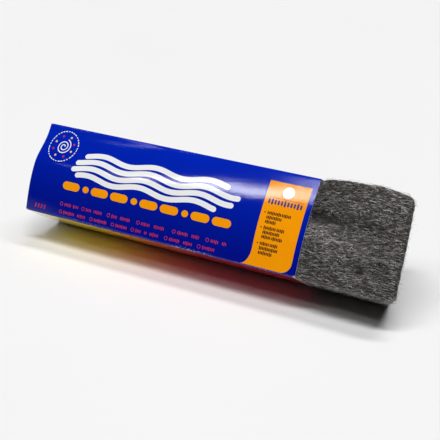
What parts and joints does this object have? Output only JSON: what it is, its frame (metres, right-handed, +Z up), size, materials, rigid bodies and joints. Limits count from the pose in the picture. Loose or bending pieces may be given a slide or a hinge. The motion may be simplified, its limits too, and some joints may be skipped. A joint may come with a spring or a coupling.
{
  "type": "steel wool pack",
  "caption": "Folded block of steel wool held in a glossy printed card band that is open at both ends; the wool sticks out at one end and stops short of the other.",
  "frame": {"origin": "centre of the bounding box at its bottom, on the floor the pack rests on", "axes": "+X along the band towards the end where the wool sticks out, -Y towards the side the printed front panel faces, +Z up"},
  "size_m": [0.3176, 0.0862, 0.0942],
  "materials": {
    "printed_card": null,
    "steel_wool": null
  },
  "bodies": {
    "root": {"card_band": "printed_card", "steel_wool": "steel_wool"}
  },
  "joints": []
}
